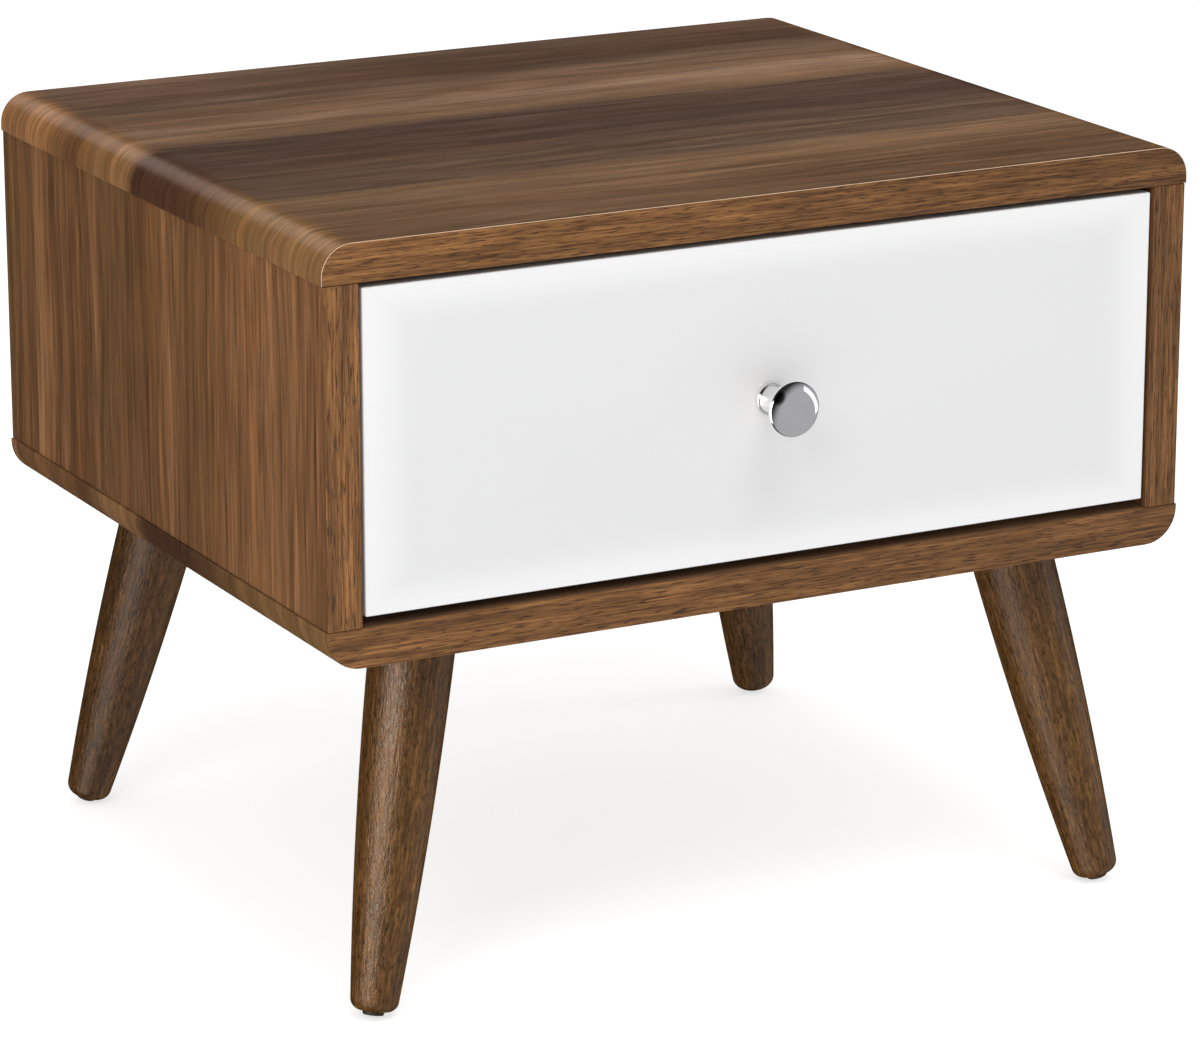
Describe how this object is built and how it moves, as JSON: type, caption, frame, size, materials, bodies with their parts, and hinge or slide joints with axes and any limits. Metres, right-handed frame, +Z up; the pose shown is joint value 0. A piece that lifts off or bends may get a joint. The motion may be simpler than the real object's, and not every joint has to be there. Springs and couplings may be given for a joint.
{
  "type": "side table",
  "caption": "Low side table with a drawer: a box-shaped carcase with rounded ends on splayed turned legs, and a drawer with a round knob on roller runners.",
  "frame": {"origin": "middle of the bounding box, on the floor", "axes": "+X to the right as seen from the front, +Y from the front to the back, +Z up"},
  "size_m": [0.48, 0.4272, 0.392],
  "materials": {
    "walnut_laminate": "satin walnut-grained laminate over board",
    "walnut_edge_band": "satin wood-grained edge band",
    "stained_wood": "solid wood, walnut stain, satin lacquer",
    "white_lacquer": "fibreboard with smooth white lacquer",
    "white_melamine": "board faced with matt white melamine",
    "brown_hardboard": "thin board faced with wood-grained foil",
    "chrome": "polished chrome plate",
    "zinc_plated_steel": "bright zinc plate",
    "coated_steel": "thin epoxy coat on pressed steel",
    "nylon": "white nylon",
    "dark_plastic": "dark brown plastic"
  },
  "bodies": {
    "root": {"back_panel": "brown_hardboard", "bottom_edge_band": "walnut_edge_band", "bottom_panel": "walnut_laminate", "cabinet_runner_left": "coated_steel", "cabinet_runner_right": "coated_steel", "cam_left_back_bottom": "zinc_plated_steel", "cam_left_back_top": "zinc_plated_steel", "cam_left_front_bottom": "zinc_plated_steel", "cam_left_front_top": "zinc_plated_steel", "cam_right_back_bottom": "zinc_plated_steel", "cam_right_back_top": "zinc_plated_steel", "cam_right_front_bottom": "zinc_plated_steel", "cam_right_front_top": "zinc_plated_steel", "front_roller_pin_left": "zinc_plated_steel", "front_roller_pin_right": "zinc_plated_steel", "glide_back_left": "dark_plastic", "glide_back_right": "dark_plastic", "glide_front_left": "dark_plastic", "glide_front_right": "dark_plastic", "hanger_bolt_back_left": "zinc_plated_steel", "hanger_bolt_back_right": "zinc_plated_steel", "hanger_bolt_front_left": "zinc_plated_steel", "hanger_bolt_front_right": "zinc_plated_steel", "left_edge_band": "walnut_edge_band", "left_side_panel": "walnut_laminate", "leg_back_left": "stained_wood", "leg_back_right": "stained_wood", "leg_block_back_left": "stained_wood", "leg_block_back_right": "stained_wood", "leg_block_front_left": "stained_wood", "leg_block_front_right": "stained_wood", "leg_front_left": "stained_wood", "leg_front_right": "stained_wood", "right_edge_band": "walnut_edge_band", "right_side_panel": "walnut_laminate", "runner_screw_left_back": "zinc_plated_steel", "runner_screw_left_front": "zinc_plated_steel", "runner_screw_right_back": "zinc_plated_steel", "runner_screw_right_front": "zinc_plated_steel", "top_edge_band": "walnut_edge_band", "top_panel": "walnut_laminate"},
    "drawer": {"drawer_back": "white_melamine", "drawer_bottom": "white_melamine", "drawer_cam_left": "zinc_plated_steel", "drawer_cam_right": "zinc_plated_steel", "drawer_front": "white_lacquer", "drawer_left_side": "white_melamine", "drawer_right_side": "white_melamine", "drawer_runner_left": "coated_steel", "drawer_runner_right": "coated_steel", "knob": "chrome", "knob_screw": "zinc_plated_steel", "rear_roller_pin_left": "zinc_plated_steel", "rear_roller_pin_right": "zinc_plated_steel"},
    "front_roller_left": {"front_roller_left": "nylon"},
    "front_roller_right": {"front_roller_right": "nylon"},
    "rear_roller_left": {"rear_roller_left": "nylon"},
    "rear_roller_right": {"rear_roller_right": "nylon"}
  },
  "joints": [
    {"name": "drawer_slide", "type": "slide", "parent": "root", "child": "drawer", "axis": [0, -1, 0], "range_m": [0, 0.255]},
    {"name": "front_roller_left_spin", "type": "hinge", "parent": "root", "child": "front_roller_left", "pos_m": [-0.21575, -0.1553, 0.2187], "axis": [1, 0, 0], "continuous": true},
    {"name": "front_roller_right_spin", "type": "hinge", "parent": "root", "child": "front_roller_right", "pos_m": [0.21575, -0.1553, 0.2187], "axis": [1, 0, 0], "continuous": true},
    {"name": "rear_roller_left_spin", "type": "hinge", "parent": "drawer", "child": "rear_roller_left", "pos_m": [-0.21355, 0.1677, 0.2174], "axis": [1, 0, 0], "continuous": true},
    {"name": "rear_roller_right_spin", "type": "hinge", "parent": "drawer", "child": "rear_roller_right", "pos_m": [0.21355, 0.1677, 0.2174], "axis": [1, 0, 0], "continuous": true}
  ],
  "couplings": [
    {"joint": "front_roller_left_spin", "follows": "drawer_slide", "rad_per_m": 117.65},
    {"joint": "front_roller_right_spin", "follows": "drawer_slide", "rad_per_m": 117.65},
    {"joint": "rear_roller_left_spin", "follows": "drawer_slide", "rad_per_m": 117.65},
    {"joint": "rear_roller_right_spin", "follows": "drawer_slide", "rad_per_m": 117.65}
  ]
}
